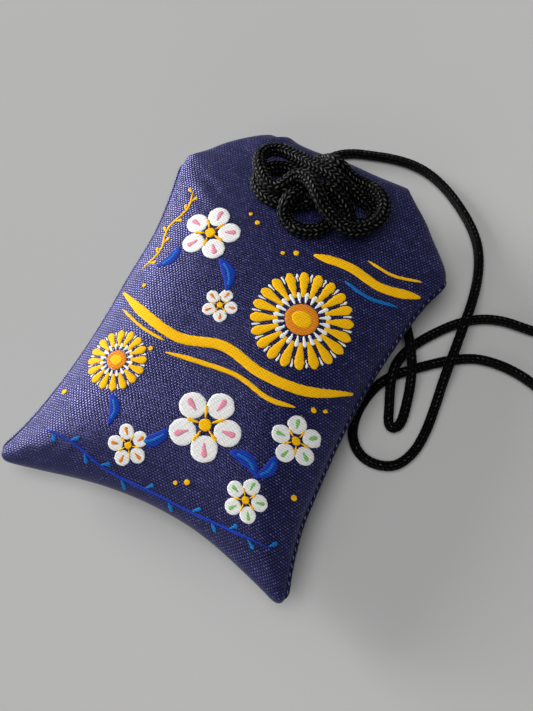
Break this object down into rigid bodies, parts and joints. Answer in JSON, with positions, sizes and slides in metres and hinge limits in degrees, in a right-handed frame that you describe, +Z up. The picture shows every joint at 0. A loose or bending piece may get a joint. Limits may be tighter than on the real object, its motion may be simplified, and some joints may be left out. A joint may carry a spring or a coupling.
{
  "type": "omamori charm",
  "caption": "Padded brocade charm bag with drawn-in sides and cut top corners, a wrapped wooden slip inside, a tied bow knot on its front and a long neck cord.",
  "frame": {"origin": "on the surface that the bag lies on, below the middle of the bag's box", "axes": "+X across the bag to its right as worn, +Y from its foot to its top edge, +Z up out of its front"},
  "size_m": [0.1005, 0.0772, 0.0166],
  "materials": {
    "brocade": "dark navy violet plain weave with woven coloured motifs",
    "seam_thread": "fine blue sewing thread",
    "wadding": "soft white cotton wadding",
    "slip_wood": "planed pale cypress",
    "wrapper_paper": "matt white folded paper",
    "braided_cord": "black satin herringbone braid"
  },
  "bodies": {
    "pouch": {"brocade_bag": "brocade", "side_seam_left": "seam_thread", "side_seam_right": "seam_thread", "front_wadding": "wadding", "back_wadding": "wadding", "charm_tablet": "slip_wood", "charm_wrapper": "wrapper_paper", "eyelet_lead_left": "braided_cord", "eyelet_lead_right": "braided_cord", "neck_cord_left": "braided_cord", "neck_cord_right": "braided_cord", "neck_cord_coil": "braided_cord"},
    "knot": {"cord_knot": "braided_cord"}
  },
  "joints": [
    {"name": "knot_lift", "type": "hinge", "parent": "pouch", "child": "knot", "pos_m": [-0.00095, 0.0312, 0.00953], "axis": [-1, 0, 0], "range_deg": [0, 75]}
  ]
}
